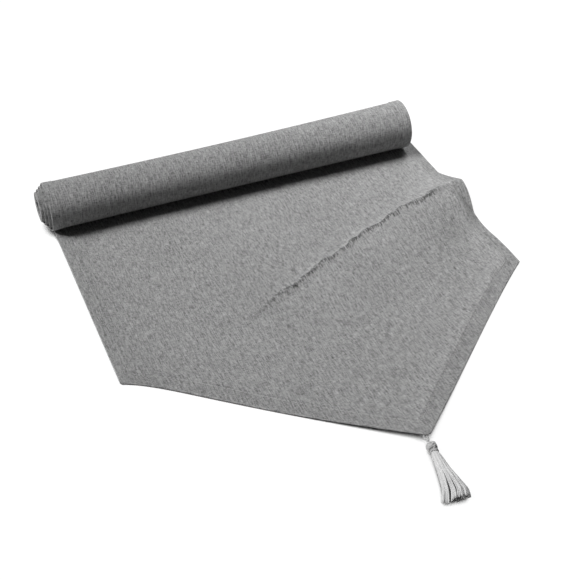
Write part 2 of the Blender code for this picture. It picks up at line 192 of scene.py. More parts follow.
def add_light(name, kind, energy, towards):
    """A light whose light comes from the direction `towards`."""
    light = bpy.data.lights.new(name, kind)
    light.energy = energy
    thing = bpy.data.objects.new(name, light)
    bpy.context.scene.collection.objects.link(thing)
    thing.rotation_euler = Vector(towards).to_track_quat("Z", "Y").to_euler()
    return thing


def set_world():
    """A white backdrop to the camera that sheds only a little light on the cloth."""
    world = bpy.data.worlds.new("studio")
    bpy.context.scene.world = world
    world.use_nodes = True
    tree = world.node_tree
    background = tree.nodes["Background"]
    background.inputs["Color"].default_value = (1.0, 1.0, 1.0, 1.0)
    ray = tree.nodes.new("ShaderNodeLightPath")
    strength = tree.nodes.new("ShaderNodeMapRange")
    strength.inputs["To Min"].default_value = AMBIENT
    strength.inputs["To Max"].default_value = 1.0
    tree.links.new(ray.outputs["Is Camera Ray"], strength.inputs["Value"])
    tree.links.new(strength.outputs["Result"], background.inputs["Strength"])


def floor_material():
    """A white table top that glows for the camera, a painted glow that hides all shadows
    but the closest, where painted contact shade lies under and beside the cloth.
    """
    material = bpy.data.materials.new("floor")
    material.use_nodes = True
    tree = material.node_tree
    shader = tree.nodes["Principled BSDF"]
    shader.inputs["Base Color"].default_value = (FLOOR_TONE, FLOOR_TONE, FLOOR_TONE, 1.0)
    shader.inputs["Roughness"].default_value = 0.9
    shader.inputs["Specular IOR Level"].default_value = 0.1
    # Emission seen by the camera alone: a painted glow, not a lamp.
    painted_glow = tree.nodes.new("ShaderNodeEmission")
    ray = tree.nodes.new("ShaderNodeLightPath")
    share = tree.nodes.new("ShaderNodeMath")
    share.operation = "MULTIPLY"
    share.inputs[1].default_value = FLOOR_GLOW_SHARE
    mix = tree.nodes.new("ShaderNodeMixShader")
    # Ambient occlusion turns the glow down under and beside the cloth: a painted contact
    # shadow.
    contact_occlusion = tree.nodes.new("ShaderNodeAmbientOcclusion")
    contact_occlusion.samples = 8
    contact_occlusion.inputs["Distance"].default_value = PAINTED_SHADE_REACH
    painted_contact_shade = tree.nodes.new("ShaderNodeMapRange")
    for key, number in (("From Min", 0.38), ("From Max", 0.54), ("To Min", 0.01),
                        ("To Max", 1.12)):
        painted_contact_shade.inputs[key].default_value = number
    tree.links.new(contact_occlusion.outputs["AO"], painted_contact_shade.inputs["Value"])
    tree.links.new(painted_contact_shade.outputs["Result"], painted_glow.inputs["Strength"])
    tree.links.new(ray.outputs["Is Camera Ray"], share.inputs[0])
    tree.links.new(share.outputs[0], mix.inputs[0])
    tree.links.new(shader.outputs[0], mix.inputs[1])
    tree.links.new(painted_glow.outputs[0], mix.inputs[2])
    tree.links.new(mix.outputs[0], tree.nodes["Material Output"].inputs["Surface"])
    return material


def set_studio():
    """World, a key light from the left, a fill from the right, and the floor."""
    scene = bpy.context.scene
    scene.view_settings.view_transform = "Standard"
    set_world()
    key = add_light("left_softbox", "SUN", KEY_STRENGTH, KEY_FROM)
    key.data.angle = math.radians(KEY_SPREAD)
    fill = add_light("right_softbox", "AREA", FILL_POWER, FILL_FROM)
    fill.data.size = FILL_SIZE
    fill.location = FILL_PLACE

    mesh = bpy.data.meshes.new("floor")
    side, level = FLOOR_SIDE, FLOOR_LEVEL
    mesh.from_pydata([(-side, -side, level), (side, -side, level),
                      (side, side, level), (-side, side, level)], [], [(0, 1, 2, 3)])
    floor = bpy.data.objects.new("floor", mesh)
    scene.collection.objects.link(floor)
    mesh.materials.append(floor_material())


# ---------------------------------------------------------------- flat stations
def edge_share(u, v):
    """Distance from the nearest edge of the cloth, counted in hem widths."""
    depth = v - LAID_LEFT
    far = -v - (WOUND_LENGTH - POINT_DEPTH)
    half = WIDTH / 2 / POINT_DEPTH
    left = (u - LEFT_SLOPE * depth) / math.hypot(1, LEFT_SLOPE)
    right = (WIDTH - RIGHT_SLOPE * depth - u) / math.hypot(1, RIGHT_SLOPE)
    far_left = (u - half * far) / math.hypot(1, half)
    far_right = (WIDTH - half * far - u) / math.hypot(1, half)
    sides = np.minimum(u, WIDTH - u) / SIDE_HEM
    points = np.minimum(np.minimum(left, right), np.minimum(far_left, far_right))
    return np.minimum(sides, points / POINT_HEM)


def fold_line(u):
    """Distance of the fold line in front of the roll at a station across the cloth."""
    return LAID_LEFT + (LAID_RIGHT - LAID_LEFT) * u / WIDTH


def crest_line(run):
    """Distance of the ridge's crest in front of the roll, wandering a little."""
    wander = (0.0007 * np.sin(TAU * run / 0.0171 + 1.0 + 1.3 * np.sin(TAU * run / 0.061))
              + 0.0004 * np.sin(TAU * run / 0.0083 + 2.0 * np.sin(TAU * run / 0.047))
              + 0.0010 * np.sin(TAU * run / 0.0437 + 2.0))
    wander *= smoothstep((run - 0.010) / 0.02)
    return RIDGE_BACK + RIDGE_SLANT * (np.hypot(run, RIDGE_BEND) - RIDGE_BEND) + wander


def ridge_height(x, y):
    """The ridge: a steep fold at the right edge, then a small lip over a long ramp."""
    run = np.maximum(WIDTH - x, 0.0)
    height = RIDGE_HEIGHT * np.clip(1 - run / RIDGE_RUN, 0, 1) ** 1.1
    ahead = -y - crest_line(run)
    inside = smoothstep(run / 0.070)
    back_width = RIDGE_BACK_WIDTH + (1.4 * height + 0.003 - RIDGE_BACK_WIDTH) * inside
    back = np.clip(1 + ahead / back_width, 0, 1) ** (1.15 + 1.15 * inside)
    within = np.clip(run / 0.0115, 0, 1)
    within = within + 0.35 * within * (1 - within)
    lip = height + (np.minimum(LIP_HEIGHT, 0.24 * height) - height) * within
    lip_width = (RIDGE_FRONT_WIDTH
                 + (LIP_WIDTH - RIDGE_FRONT_WIDTH) * smoothstep(run / 0.012))
    share = np.maximum(ahead, 0) / lip_width
    full = 1 - share ** 1.8
    steep = np.clip((full + np.sqrt(full ** 2 + 0.008)) / 2 - 0.0002, 0, 1)
    steep *= smoothstep((2.2 - share) / 1.0)
    ramp_width = RAMP_WIDTH + RAMP_GROWTH * smoothstep(run / 0.060)
    ramp = (1 + np.cos(math.pi * np.clip(ahead / ramp_width, 0, 1))) / 2
    return np.where(ahead < 0, height * back, lip * steep + (height - lip) * ramp)


def laid_surface(u, v):
    """Flat stations in front of the roll: the laid cloth and the point."""
    part = np.minimum(v / LAID_LEFT, 1.0)
    depth = np.maximum(v - LAID_LEFT, 0.0)
    x = u + math.sin(FOLD_SLOPE) * depth
    y = -part * fold_line(u) - math.cos(FOLD_SLOPE) * depth
    ridge = ridge_height(x, y)

    # The right edge is drawn in beside the ridge, and the point's edges bow in.
    near_right = smoothstep((u - WIDTH + 0.060) / 0.060)
    x = x - EDGE_DRAWN_IN * bump(y, -0.136, 0.020) * near_right * (depth < 0.001)
    slope = math.atan(RIGHT_SLOPE)
    inward = (WIDTH - RIGHT_SLOPE * depth - u) * math.cos(slope)
    share = np.clip(depth / POINT_DEPTH, 0, 1)
    bow = RIGHT_BOW * np.sin(math.pi * share ** 0.6) * bump(inward, 0, 0.045)
    bow = np.where(depth > 0, bow, 0.0)
    x = x - bow * math.cos(slope)
    y = y + bow * math.sin(slope)
    slope = math.atan(LEFT_SLOPE)
    inward = (u - LEFT_SLOPE * depth) * math.cos(slope)
    bow = LEFT_BOW * share / 0.14 * np.exp(1 - share / 0.14) * bump(inward, 0, 0.045)
    x = x + bow * math.cos(slope)
    y = y + bow * math.sin(slope)

    edge = edge_share(u, v)
    on_hem = 1 - smoothstep((edge - 1) / 0.45)
    at_roll = 1 - smoothstep(v / 0.012)
    waves = (np.cos(TAU * (u / 0.113 + v / 0.171) + 0.7)
             + 0.6 * np.cos(TAU * (u / 0.071 - v / 0.063) + 2.1)
             + 0.4 * np.cos(TAU * (u / 0.041 + v / 0.147) + 4.0) + 2.0) / 4
    swell = SWELL * waves * smoothstep(v / 0.030) * (1 - 0.6 * on_hem)
    curl = np.clip(1 - (TIP_DEPTH - depth) / TIP_LIFT_DEPTH, 0, None) ** 2
    beside = HEM_SHOULDER * bump(edge, 1.25, 0.50) * smoothstep(v / 0.030)
    beside *= 0.35 + 0.65 * smoothstep((u - WIDTH / 2) / 0.03)
    z = RISE * np.maximum(on_hem, at_roll) + ridge + swell + beside + TIP_LIFT * curl
    return np.stack([x, y, z], -1)


def wound_surface(u, v):
    """Flat stations on the roll, wound from under it up its back and over."""
    length = np.clip(-v, 0, WOUND_LENGTH)
    angle = TAU / PITCH * (RADIUS - np.sqrt(RADIUS ** 2 - PITCH * length / math.pi))
    turns = angle / TAU
    half_turn = smoothstep(turns / 0.5)
    steps = sum(smoothstep((turns - at) / 0.22 + 0.5) for at in RING_TURNS)
    outside = RADIUS_LEFT + (RADIUS_RIGHT - RADIUS_LEFT) * u / WIDTH
    outside = outside - ROLL_WAIST * np.sin(math.pi * u / WIDTH)
    at_left = bump(u, 0, RING_REACH)
    radius = outside - PITCH * turns * (1 - 0.25 * at_left) - RING_GAP * steps * at_left
    shift = ROLL_SHIFT * half_turn + RING_STEP * steps
    narrowed = (u - WIDTH / 2) * ROLL_NARROWING * half_turn
    centre = CORE_RISE * smoothstep(turns / 8.0) * (1 - 0.7 * u / WIDTH)
    x = u - shift - narrowed
    y = radius * np.sin(angle)
    z = RISE + outside - radius * np.cos(angle) + centre
    return np.stack([x, y, z], -1)


def underside(u, v):
    """Places of flat stations on the cloth's underside, whole length."""
    wound = (v < 0)[..., None]
    return np.where(wound, wound_surface(u, v), laid_surface(u, np.maximum(v, 0)))


def surface(u, v, lift):
    """Places of flat stations at a distance from the cloth's underside."""
    u, v, lift = np.broadcast_arrays(np.asarray(u, float), np.asarray(v, float),
                                     np.asarray(lift, float))
    step = 0.0004
    place = underside(u, v)
    along = underside(u, v + step) - underside(u, v - step)
    across = underside(u + step, v) - underside(u - step, v)
    normal = np.cross(along, across)
    normal /= np.linalg.norm(normal, axis=-1, keepdims=True)
    return place + normal * lift[..., None] + SHIFT


# ---------------------------------------------------------------- mesh helpers
def mesh_object(name, points, faces, attributes, material, smooth_angle):
    """An object from arrays: points (n, 3), quads (m, 4) and per-point attributes."""
    mesh = bpy.data.meshes.new(name)
    mesh.vertices.add(len(points))
    mesh.vertices.foreach_set("co", np.asarray(points, np.float32).ravel())
    mesh.loops.add(faces.size)
    mesh.loops.foreach_set("vertex_index", faces.astype(np.int32).ravel())
    mesh.polygons.add(len(faces))
    mesh.polygons.foreach_set("loop_start", np.arange(0, faces.size, 4, dtype=np.int32))
    mesh.update(calc_edges=True)
    mesh.validate()
    for label, kind, values in attributes:
        attribute = mesh.attributes.new(label, kind, "POINT")
        field = "vector" if kind == "FLOAT_VECTOR" else "value"
        attribute.data.foreach_set(field, np.asarray(values, np.float32).ravel())
    mesh.shade_smooth()
    if smooth_angle:
        mesh.set_sharp_from_angle(angle=math.radians(smooth_angle))
    mesh.materials.append(material)
    thing = bpy.data.objects.new(name, mesh)
    bpy.context.scene.collection.objects.link(thing)
    return thing


def loft_faces(parts, rings, sides):
    """Quads over `parts` separate lofts of `rings` closed rings, ends capped in strips."""
    k = np.arange(sides)
    after = (k + 1) % sides
    ring = np.arange(rings - 1)[:, None] * sides
    skin = np.stack([ring + k, ring + after, ring + sides + after, ring + sides + k], -1)
    skin = skin.reshape(-1, 4)
    j = np.arange(sides // 2 - 1)
    cap = np.stack([j, sides - 1 - j, sides - 2 - j, j + 1], -1)
    last = cap[:, ::-1] + (rings - 1) * sides
    one = np.concatenate([skin, cap, last])
    offsets = np.arange(parts)[:, None, None] * rings * sides
    return (one[None] + offsets).reshape(-1, 4)


def loft_object(name, rings, flat, material, edge=None, smooth_angle=0):
    """Skin over an array of rings, (parts, rings, sides, 3), with even side counts."""
    parts, count, sides = rings.shape[:3]
    faces = loft_faces(parts, count, sides)
    attributes = [("flat", "FLOAT_VECTOR", flat.reshape(-1, 3))]
    if edge is not None:
        attributes.append(("edge", "FLOAT", edge.reshape(-1)))
    return mesh_object(name, rings.reshape(-1, 3), faces, attributes, material,
                       smooth_angle)


def tube_rings(paths, radii, sides):
    """Rings of tubes along paths (parts, points, 3); radii broadcast to (parts, points)."""
    paths = np.asarray(paths, float)
    radii = np.broadcast_to(radii, paths.shape[:2])
    tangent = np.gradient(paths, axis=1)
    tangent /= np.linalg.norm(tangent, axis=-1, keepdims=True) + 1e-12
    side = np.empty_like(tangent)
    start = np.where(np.abs(tangent[:, 0, 2:3]) < 0.9, [[0, 0, 1.0]], [[1.0, 0, 0]])
    side[:, 0] = start
    for i in range(paths.shape[1]):
        before = side[:, max(i - 1, 0)]
        new = before - (before * tangent[:, i]).sum(-1, keepdims=True) * tangent[:, i]
        side[:, i] = new / (np.linalg.norm(new, axis=-1, keepdims=True) + 1e-12)
    other = np.cross(tangent, side)
    turn = TAU * np.arange(sides) / sides
    ring = (np.cos(turn)[:, None] * side[:, :, None]
            + np.sin(turn)[:, None] * other[:, :, None])
    return paths[:, :, None] + ring * radii[:, :, None, None]


def tube_flat(paths, sides):
    """Material coordinates of tubes: cosine round it, metres along it, its number."""
    step = np.linalg.norm(np.diff(paths, axis=1), axis=-1)
    along = np.concatenate([np.zeros((len(paths), 1)), np.cumsum(step, 1)], 1)
    flat = np.zeros(paths.shape[:2] + (sides, 3))
    flat[..., 0] = np.cos(TAU * np.arange(sides) / sides)
    flat[..., 1] = along[..., None]
    flat[..., 2] = np.arange(len(paths))[:, None, None]
    return flat


# ---------------------------------------------------------------- materials
class Nodes:
    """Short-hand for building a material's nodes."""

    def __init__(self, name, roughness=0.9, sheen=0.0):
        self.material = bpy.data.materials.new(name)
        self.material.use_nodes = True
        self.tree = self.material.node_tree
        self.shader = self.tree.nodes["Principled BSDF"]
        self.shader.inputs["Roughness"].default_value = roughness
        self.shader.inputs["Specular IOR Level"].default_value = 0.25
        self.shader.inputs["Sheen Weight"].default_value = sheen
        self.shader.inputs["Sheen Roughness"].default_value = 0.4

    def new(self, kind, **settings):
        node = self.tree.nodes.new(kind)
        for key, value in settings.items():
            setattr(node, key, value)
        return node

    def link(self, value, socket):
        if isinstance(value, bpy.types.NodeSocket):
            self.tree.links.new(value, socket)
        else:
            socket.default_value = value

    def attribute(self, name, output="Vector"):
        return self.new("ShaderNodeAttribute", attribute_name=name).outputs[output]

    def math(self, operation, a, b=0.0):
        node = self.new("ShaderNodeMath", operation=operation)
        self.link(a, node.inputs[0])
        self.link(b, node.inputs[1])
        return node.outputs[0]

    def scaled(self, vector, scale, offset=(0, 0, 0)):
        node = self.new("ShaderNodeMapping")
        self.link(vector, node.inputs["Vector"])
        node.inputs["Scale"].default_value = scale
        node.inputs["Location"].default_value = offset
        return node.outputs[0]

    def product(self, a, b):
        return self.math("MULTIPLY", a, b)

    def total(self, a, b):
        return self.math("ADD", a, b)

    def noise(self, vector, scale, detail=2.0, roughness=0.5, offset=(0, 0, 0)):
        node = self.new("ShaderNodeTexNoise")
        self.link(self.scaled(vector, scale, offset), node.inputs["Vector"])
        node.inputs["Scale"].default_value = 1.0
        node.inputs["Detail"].default_value = detail
        node.inputs["Roughness"].default_value = roughness
        return node.outputs["Fac"]

    def range(self, value, low, high, to_low=0.0, to_high=1.0, smooth=False):
        node = self.new("ShaderNodeMapRange")
        node.interpolation_type = "SMOOTHSTEP" if smooth else "LINEAR"
        self.link(value, node.inputs["Value"])
        for key, number in (("From Min", low), ("From Max", high),
                            ("To Min", to_low), ("To Max", to_high)):
            node.inputs[key].default_value = number
        return node.outputs["Result"]

    def grey(self, value):
        node = self.new("ShaderNodeCombineColor")
        for socket in node.inputs[:3]:
            self.link(value, socket)
        return node.outputs[0]

    def finish(self, colour, height, distance, strength):
        """Grey colour and bump, as the surface's own."""
        self.link(self.grey(colour), self.shader.inputs["Base Color"])
        node = self.new("ShaderNodeBump")
        node.inputs["Strength"].default_value = strength
        node.inputs["Distance"].default_value = distance
        self.link(height, node.inputs["Height"])
        self.tree.links.new(node.outputs["Normal"], self.shader.inputs["Normal"])
        return self.material


def crease_groove_and_shade(n, flat):
    """Short strokes along the warp, on and beside the ridge's crest: painted crease shade
    in the colour and a groove in the bump.
    """
    crease = n.new("ShaderNodeSeparateXYZ")
    n.link(n.attribute("crease"), crease.inputs[0])
    wander = n.noise(flat, (640, 150, 0), offset=(5.5, 2.5, 0))
    across = n.math("ABSOLUTE", n.total(crease.outputs[0],
                                        n.range(wander, 0.3, 0.7, -0.0036, 0.0036)))
    broken = n.range(n.noise(flat, (760, 190, 0), detail=1.0), 0.38, 0.52, 0.25, 1.0)
    mark = n.product(n.range(across, 0.0013, 0.0037, 1.0, 0.0, smooth=True), broken)
    return n.product(mark, crease.outputs[1])


def cloth_material(name, base, hem_shade):
    """Slubby plain weave: long streaks along the cloth, faint ones across, fine weave."""
    n = Nodes(name, roughness=0.92, sheen=0.12)
    flat = n.attribute("flat")
    streak = n.noise(flat, (1500, 210, 0), detail=3.0, roughness=0.62)
    slub = n.noise(flat, (720, 80, 0), offset=(7.3, 1.9, 0))
    cross = n.noise(flat, (220, 1400, 0), offset=(3.1, 8.7, 0))
    patch = n.noise(flat, (26, 14, 0), detail=3.0, offset=(1.1, 4.7, 0))
    jitter = n.product(n.noise(flat, (300, 300, 0), detail=1.0), 5.0)
    split = n.new("ShaderNodeSeparateXYZ")
    n.link(flat, split.inputs[0])
    warp, weft = [n.math("SINE", n.total(n.product(split.outputs[i], TAU / pitch), jitter))
                  for i, pitch in enumerate((WARP_PITCH, WEFT_PITCH))]
    weave = n.product(warp, weft)
    tone = n.range(streak, 0.30, 0.70, -0.48, 0.48)
    for part in (n.range(slub, 0.34, 0.68, -0.17, 0.22),
                 n.range(cross, 0.3, 0.7, -0.30, 0.30),
                 n.range(patch, 0.3, 0.7, -0.05, 0.05), n.product(weave, 0.05)):
        tone = n.total(tone, part)
    edge = n.attribute("edge", "Fac")
    band = n.range(edge, 0.97, 1.05, hem_shade, 1.0, smooth=True)
    colour = n.product(n.total(tone, 1.0), n.product(band, base))
    height = n.total(n.product(weave, 0.35),
                     n.total(n.product(streak, 1.6), n.product(cross, 0.9)))
    mark = crease_groove_and_shade(n, flat)
    # Painted shade along the ridge's crease darkens the colour; the same strokes sink a
    # groove into the bump.
    colour = n.product(colour, n.math("SUBTRACT", 1.0, n.product(mark, 0.74)))
    height = n.math("SUBTRACT", height, n.product(mark, 0.5))
    # The cloth steps down off the hem's layers, and the seam draws a groove into it.
    step = n.range(edge, 0.96, 1.06, 1.2, 0.0, smooth=True)
    from_seam = n.math("ABSOLUTE", n.math("SUBTRACT", edge, 0.82))
    groove = n.product(n.range(from_seam, 0.0, 0.05, 1.0, 0.0, smooth=True), -0.8)
    height = n.total(height, n.total(step, groove))
    return n.finish(colour, height, 0.00042, 1.0)


def yarn_material(name, base, roughness, twist, sheen):
    """Twisted yarn or thread: slanting plies round each tube, with small tone changes."""
    n = Nodes(name, roughness=roughness, sheen=sheen)
    flat = n.attribute("flat")
    split = n.new("ShaderNodeSeparateXYZ")
    n.link(flat, split.inputs[0])
    along = n.product(split.outputs[1], TAU / twist)
    ply = n.math("SINE", n.total(along, n.product(split.outputs[0], 2.4)))
    each = n.noise(flat, (0.3, 40, 3.7), detail=1.0)
    fine = n.noise(flat, (2.0, 900, 5.3))
    tone = n.total(n.range(each, 0.3, 0.7, -0.12, 0.12),
                   n.range(fine, 0.3, 0.7, -0.08, 0.08))
    tone = n.total(tone, n.product(ply, 0.07))
    colour = n.product(n.total(tone, 1.0), base)
    return n.finish(colour, n.total(ply, fine), twist * 0.10, 0.8)


# ---------------------------------------------------------------- the cloth
def columns():
    """Shares across the cloth, closer together at the hems."""
    edge = [0.0, 0.0025, 0.0050, 0.0072, 0.0082, 0.0092, 0.0105, 0.0125, 0.0145]
    inner = np.linspace(0.0175, WIDTH - 0.0175, 112)
    edge = np.array(edge)
    return np.concatenate([edge, inner, WIDTH - edge[::-1]]) / WIDTH


def length_at(angle):
    """Wound length out from the contact line at an angle of the roll."""
    return RADIUS * angle - PITCH * angle ** 2 / (4 * math.pi)


def row_stations():
    """Stations along the cloth from the far tip to the front tip."""
    inner = -length_at(np.arange(WOUND_ANGLE, TAU * 1.02, -TAU / 40))
    outer = -length_at(np.linspace(TAU * 1.02, 0, 110, endpoint=False))
    laid = np.linspace(0, LAID_LEFT, 150, endpoint=False)
    point = LAID_LEFT + np.linspace(0, TIP_DEPTH, 84)
    return np.concatenate([inner, outer, laid, point])


def row_ends(v, inset):
    """Left and right end of the cloth's row at a station, drawn in by an inset."""
    depth = np.maximum(v - LAID_LEFT, 0)
    far = np.maximum(-v - (WOUND_LENGTH - POINT_DEPTH), 0) * WIDTH / 2 / POINT_DEPTH
    far = np.minimum(far, (WIDTH - TIP_WIDTH) / 2)
    left = np.maximum(LEFT_SLOPE * depth, far)
    right = np.minimum(WIDTH - RIGHT_SLOPE * depth, WIDTH - far)
    inset = np.minimum(inset * np.where(depth > 0, 1.6, 1.0), (right - left) * 0.2)
    return left + inset, right - inset


def make_cloth(material):
    """The whole cloth, with how far each point lies ahead of the crest and how strongly its
    crease groove and painted crease shade show.
    """
    v = row_stations()
    left, right = row_ends(v, 0.0006)
    u = left[:, None] + (right - left)[:, None] * columns()[None]
    v = np.broadcast_to(v[:, None], u.shape)
    low = surface(u, v, 0.0)
    high = surface(u, v, CLOTH)
    rings = np.concatenate([low, high[:, ::-1]], 1)[None]
    flat = np.stack([u, v, np.zeros_like(u)], -1)
    flat = np.concatenate([flat, flat[:, ::-1]], 1)[None]
    edge = edge_share(u, v)
    edge = np.concatenate([edge, edge[:, ::-1]], 1)[None]
    thing = loft_object("runner_cloth", rings, flat, material, edge, 60)
    run = np.maximum(WIDTH - u, 0)
    ahead = np.where(v > 0, v * fold_line(u) / LAID_LEFT - crest_line(run), 1.0)
    # Strength of the crease's groove and painted shade along the ridge.
    groove_and_shade_fade = smoothstep((run - 0.012) / 0.02) * smoothstep((RIDGE_RUN - run) / 0.055)
    crease = np.stack([ahead, groove_and_shade_fade * (v > 0), np.zeros_like(run)], -1)
    crease = np.concatenate([crease, crease[:, ::-1]], 1)
    attribute = thing.data.attributes.new("crease", "FLOAT_VECTOR", "POINT")
    attribute.data.foreach_set("vector", crease.astype(np.float32).ravel())
    return thing


# ---------------------------------------------------------------- hems
def hem_profile(low, width, taper=0.0):
    """Outline of a folded hem as (inward distance, lift) rows, for each low.

    taper (0 to 1) presses its inner edge flat, as round the roll.
    """
    low = np.asarray(low, float)[..., None]
    pressed = np.asarray(taper, float)[..., None] * (-0.00005 - low)
    radius = (CLOTH - low) / 2
    middle = (CLOTH + low) / 2
    turn = np.radians([-90, -60, -30, 0, 30, 60, 90])
    rounded = np.minimum(0.00018, -low * 0.3)

    def same(*values):
        return np.broadcast_to(values, low.shape[:-1] + (len(values),))

    under = same(1.0 * width, 0.985 * width, 0.75 * width, 0.5 * width, 0.25 * width)
    inside = same(0.0010, 0.004, 0.5 * width, 0.75 * width, width)
    inward = np.concatenate(
        [under, radius * (1 - np.cos(turn)), radius + 0.0005, inside], -1)
    lift = np.concatenate([
        low + rounded + pressed * 0.6, low + pressed * 0.95, low + pressed * 0.5, low, low,
        middle + radius * np.sin(turn), same(CLOTH + 0.00001), same(*[HEM_SINK] * 5)], -1)
    return inward, lift


def hem_low_at(v):
    """Hems lie free below the laid cloth and round the outer turn, thin between turns."""
    turns = np.clip(-v, 0, None) / (TAU * RADIUS)
    low = HEM_LOW + (ROLL_HEM_LOW - HEM_LOW) * smoothstep(turns / 0.12)
    return low + (WOUND_HEM_LOW - ROLL_HEM_LOW) * smoothstep((turns - 0.80) / 0.22)


def side_hem(side, material):
    """Hem of one long edge, from the far tip round all turns to the fold line."""
    v = row_stations()
    v = v[v < LAID_LEFT - 1e-6]
    slope = LEFT_SLOPE if side == "left" else RIGHT_SLOPE
    inward, lift = hem_profile(hem_low_at(v), SIDE_HEM, smoothstep(-v / 0.020))
    mitred = np.clip((v - LAID_LEFT + FOLD_HALF) / FOLD_HALF, 0, 1)
    station = v[:, None] - mitred[:, None] * inward * math.tan(math.atan(slope) / 2)
    edge_left, edge_right = row_ends(v, 0.0)
    if side == "left":
        u = edge_left[:, None] + inward
    else:
        u = edge_right[:, None] - inward
    half = (edge_left + edge_right)[:, None] / 2
    u = (np.minimum(u, half - 0.0002) if side == "left"
         else np.maximum(u, half + 0.0002))
    rings = surface(u, station, lift)
    flat = np.stack([u, station, lift], -1)
    if side == "right":
        rings, flat = rings[:, ::-1], flat[:, ::-1]
    edge = np.zeros(u.shape)
    return loft_object("hem_" + side, rings[None], flat[None], material, edge[None], 60)


def point_hem(side, material):
    """Hem of one edge of the front point, mitred at the corner and at the tip."""
    slope = LEFT_SLOPE if side == "left" else RIGHT_SLOPE
    lean = math.atan(slope)
    inward, lift = hem_profile(np.array(HEM_LOW), POINT_HEM)
    first = inward * math.tan(lean / 2)
    corner_to_middle = MIDDLE if side == "left" else WIDTH - MIDDLE
    last = np.minimum(
        (corner_to_middle - 0.0002 - inward * math.cos(lean)) / math.sin(lean),
        (TIP_DEPTH + inward * math.sin(lean)) / math.cos(lean))
    share = np.linspace(0, 1, 110)[:, None]
    along = first + (last - first) * share
    inward = np.broadcast_to(inward, along.shape)
    lift = np.broadcast_to(lift, along.shape)
    across = along * math.sin(lean) + inward * math.cos(lean)
    v = LAID_LEFT + along * math.cos(lean) - inward * math.sin(lean)
    u = across if side == "left" else WIDTH - across
    rings = surface(u, v, lift)
    flat = np.stack([inward + 0.5, along, lift], -1)
    if side == "right":
        rings, flat = rings[:, ::-1], flat[:, ::-1]
    edge = np.zeros(u.shape)
    return loft_object("hem_point_" + side, rings[None], flat[None], material,
                       edge[None], 60)


# ---------------------------------------------------------------- stitches
def stitches(name, u0, v0, u1, v1, lift, outward, material, radius):
    """Single stitches from (u0, v0) to (u1, v1), each a small capsule that dips in."""
    share = np.array([0.0, 0.06, 0.22, 0.5, 0.78, 0.94, 1.0])
    thick = np.array([0.25, 0.75, 1.0, 1.05, 1.0, 0.75, 0.25]) * radius
    rise = np.array([-1.2, -0.4, 0.35, 0.6, 0.35, -0.4, -1.2]) * radius * outward
    sides = 8
    turn = TAU * np.arange(sides) / sides
    du, dv = u1 - u0, v1 - v0
    length = np.hypot(du, dv)
    u, v = [first[:, None, None] + step[:, None, None] * share[None, :, None]
            + sideways[:, None, None] * thick[None, :, None] * np.cos(turn)
            for first, step, sideways in ((u0, du, dv / length), (v0, dv, -du / length))]
    up = lift + rise[None, :, None] + thick[None, :, None] * np.sin(turn) * outward
    rings = surface(u, v, np.broadcast_to(up, u.shape))
    flat = np.zeros(u.shape + (3,))
    flat[..., 0] = np.cos(turn)
    flat[..., 1] = (share[None, :] * length[:, None])[..., None]
    flat[..., 2] = np.arange(len(u0))[:, None, None]
    return loft_object(name, rings, flat, material)


def row_of_stitches(name, u_at, v_at, total, lift, outward, material,
                    length=STITCH, gap=STITCH_GAP, radius=THREAD_RADIUS):
    """Stitches along a seam; u_at and v_at give flat stations at a distance along it."""
    pitch = length + gap
    start = np.arange(0.0, total - length, pitch) + gap / 2
    rng = np.random.default_rng(len(name) * 7 + 3)
    wander = rng.normal(0, 0.00004, (2, len(start)))
    end = start + length
    u0, u1 = u_at(start) + wander[0], u_at(end) + wander[1]
    return stitches(name, u0, v_at(start), u1, v_at(end), lift, outward, material, radius)


def make_stitches(material):
    """All seams: sides on the laid cloth, round the roll, and along the point."""
    pieces = []
    under = HEM_LOW + 0.0001

    def seam(name, *rest):
        pieces.append(row_of_stitches("stitches_" + name, *rest))

    for side in ("left", "right"):
        inset = SIDE_HEM - SEAM_INSET
        station = inset if side == "left" else WIDTH - inset
        lean = math.atan(LEFT_SLOPE if side == "left" else RIGHT_SLOPE)
        from_roll = 0.014
        total = LAID_LEFT - inset * math.tan(lean / 2) - from_roll

        def beside(s, station=station):
            return station + 0 * s

        def ahead(s, start=from_roll):
            return s + start

        seam("side_" + side, beside, ahead, total, CLOTH, 1, material)
        seam("under_" + side, beside, ahead, total, under, -0.55, material)
        seam("roll_" + side, beside, lambda s: -s - 0.008, TAU * RADIUS * 0.80,
             ROLL_HEM_LOW, -1, material)

        inward = POINT_HEM - SEAM_INSET
        first = inward * math.tan(lean / 2)
        to_middle = MIDDLE if side == "left" else WIDTH - MIDDLE
        total = (to_middle - inward * math.cos(lean)) / math.sin(lean) - first

        def across(s, lean=lean, first=first, side=side):
            u = (s + first) * math.sin(lean) + inward * math.cos(lean)
            return u if side == "left" else WIDTH - u

        def along(s, lean=lean, first=first):
            return LAID_LEFT + (s + first) * math.cos(lean) - inward * math.sin(lean)

        seam("point_" + side, across, along, total, CLOTH, 1, material)
        seam("point_under_" + side, across, along, total, under, -0.55, material)
    # The seam of the right edge of the point starts with a few heavier stitches.
    seam("corner_right", across, along, 0.0140, CLOTH + 0.00018, 1, material,
         0.0042, 0.0004, 0.00030)
    return pieces


# ---------------------------------------------------------------- tassels
def tassel_frame(joint):
    """Matrix from a tassel's own frame to the row frame: +X along it, +Z up."""
    place = Vector(JOINTS[joint]["pos_m"])
    axis = Vector(JOINTS["tassel_lift"]["axis"])
    along = axis.cross(Vector((0, 0, 1)))
    if along.y > 0:
        along.negate()
    along.normalize()
    sideways = Vector((0, 0, 1)).cross(along)
    matrix = Matrix((along, sideways, Vector((0, 0, 1)))).transposed().to_4x4()
    matrix.translation = place
    return np.array(matrix)


def placed(points, matrix):
    """Points of a tassel's own frame in the row frame."""
    return points @ matrix[:3, :3].T + matrix[:3, 3]


